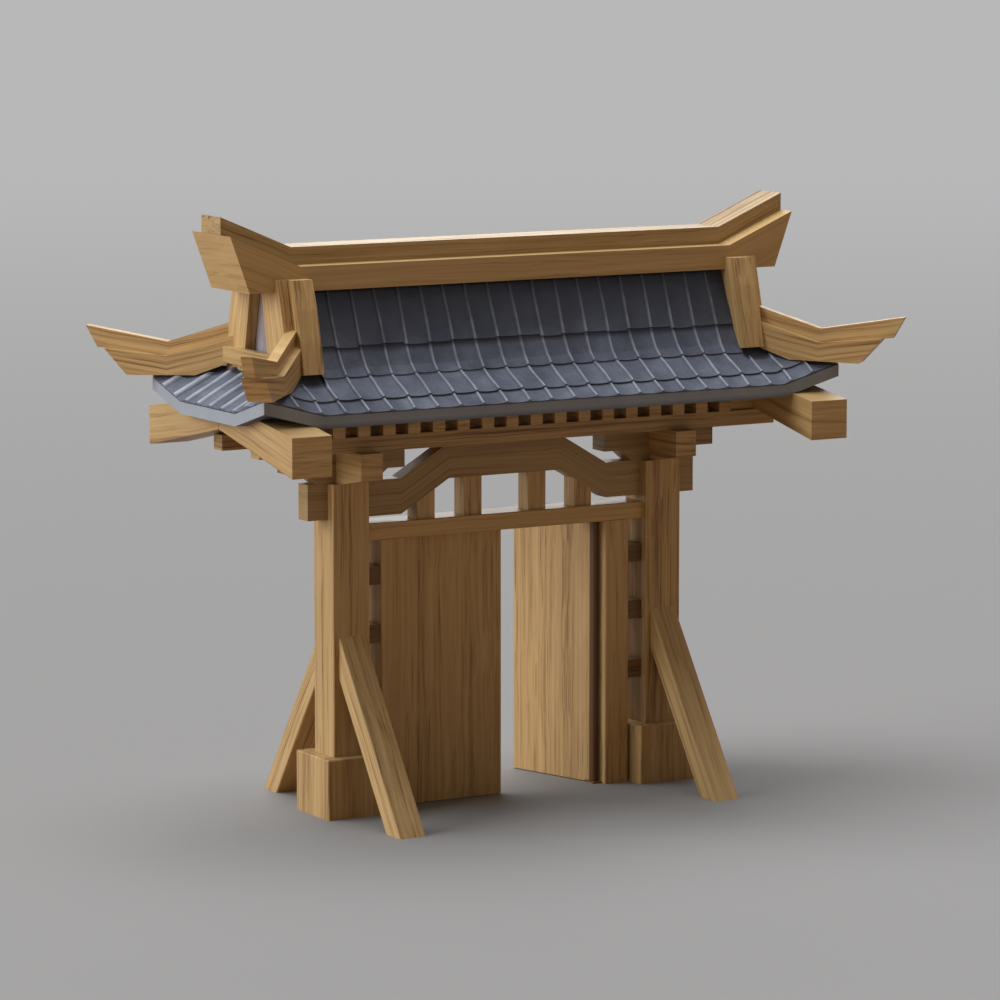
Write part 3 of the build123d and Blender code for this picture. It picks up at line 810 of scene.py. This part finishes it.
def close_eave(name, end, side):
    """The board that closes the eave from the last joist to the end beam, at one corner."""
    inner, outer = joists_high.x, purlin_high.x - CLOSER_INSET
    face = joists_high.y - CLOSER_INSET
    size = Vector((outer - inner, CLOSER_THICKNESS, joists_high.z - joists_low.z))
    middle_z = (joists_low.z + joists_high.z) / 2
    middle = Vector((end * (inner + outer) / 2, side * (face - CLOSER_THICKNESS / 2), middle_z))
    mesh = bmesh.new()
    bmesh.ops.create_cube(mesh, size=1)
    for vertex in mesh.verts:
        vertex.co = vertex.co * size + middle
    closer = make_object(name, mesh, finishes["beam_timber"])
    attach(closer, "gate_frame")


joists_low, joists_high = node_box("joists")
_, purlin_high = node_box("purlin_back")
for end_name, end in (("left", -1), ("right", 1)):
    for side_name, side in (("front", -1), ("back", 1)):
        close_eave(f"eave_closer_{side_name}_{end_name}", end, side)

# The floor
floor_corners = [(x * FLOOR_REACH, y * FLOOR_REACH, 0) for x, y in ((-1, -1), (1, -1), (1, 1), (-1, 1))]
floor_mesh = bpy.data.meshes.new("floor")
floor_mesh.from_pydata(floor_corners, [], [(0, 1, 2, 3)])
floor_mesh.materials.append(floor_finish("floor_grey"))
floor = bpy.data.objects.new("floor", floor_mesh)
bpy.context.scene.collection.objects.link(floor)

# The world: a dim warm light on the object, and a plain grey backdrop
world = bpy.data.worlds.new("studio")
bpy.context.scene.world = world
world.use_nodes = True
sky = world.node_tree
background = sky.nodes["Background"]
put(sky, background.inputs["Color"], mix_colour(sky, seen_directly(sky), AMBIENT_TINT, WHITE))
put(sky, background.inputs["Strength"], remap(sky, seen_directly(sky), 0, 1, AMBIENT, SEEN_SKY))


def sun(name, direction, strength, angle, colour):
    """A soft lamp that shines from a direction, with its apparent width in degrees."""
    lamp = bpy.data.lights.new(name, "SUN")
    lamp.energy = strength
    lamp.angle = math.radians(angle)
    lamp.color = colour
    made = bpy.data.objects.new(name, lamp)
    made.rotation_euler = Vector(direction).to_track_quat("Z", "Y").to_euler()
    bpy.context.scene.collection.objects.link(made)


sun("key_light", direction=(-0.9, 0.30, 0.30), strength=2.85, angle=58, colour=(1, 0.985, 0.965))
sun("top_light", direction=(-0.03, 0.24, 1), strength=3.1, angle=58, colour=WHITE)
sun("rim_light", direction=(0.45, 0.86, 0.20), strength=0.8, angle=45, colour=WHITE)
sun("fill_light", direction=(0.1, -1, 0.35), strength=0.25, angle=90, colour=(1, 0.74, 0.5))

# The camera
camera_data = bpy.data.cameras.new("camera")
camera_data.lens = CAMERA_LENS
camera_data.sensor_width = SENSOR_WIDTH
camera_data.clip_end = 2 * FLOOR_REACH
camera = bpy.data.objects.new("camera", camera_data)
turn = math.radians(CAMERA_TURN)
down = math.radians(CAMERA_DOWN)
forward = Vector((math.sin(turn) * math.cos(down), math.cos(turn) * math.cos(down), -math.sin(down)))
camera.location = CAMERA_TARGET - forward * CAMERA_DISTANCE
camera.rotation_euler = forward.to_track_quat("-Z", "Y").to_euler()
bpy.context.scene.collection.objects.link(camera)
bpy.context.scene.camera = camera
bpy.context.scene.view_settings.view_transform = "Standard"
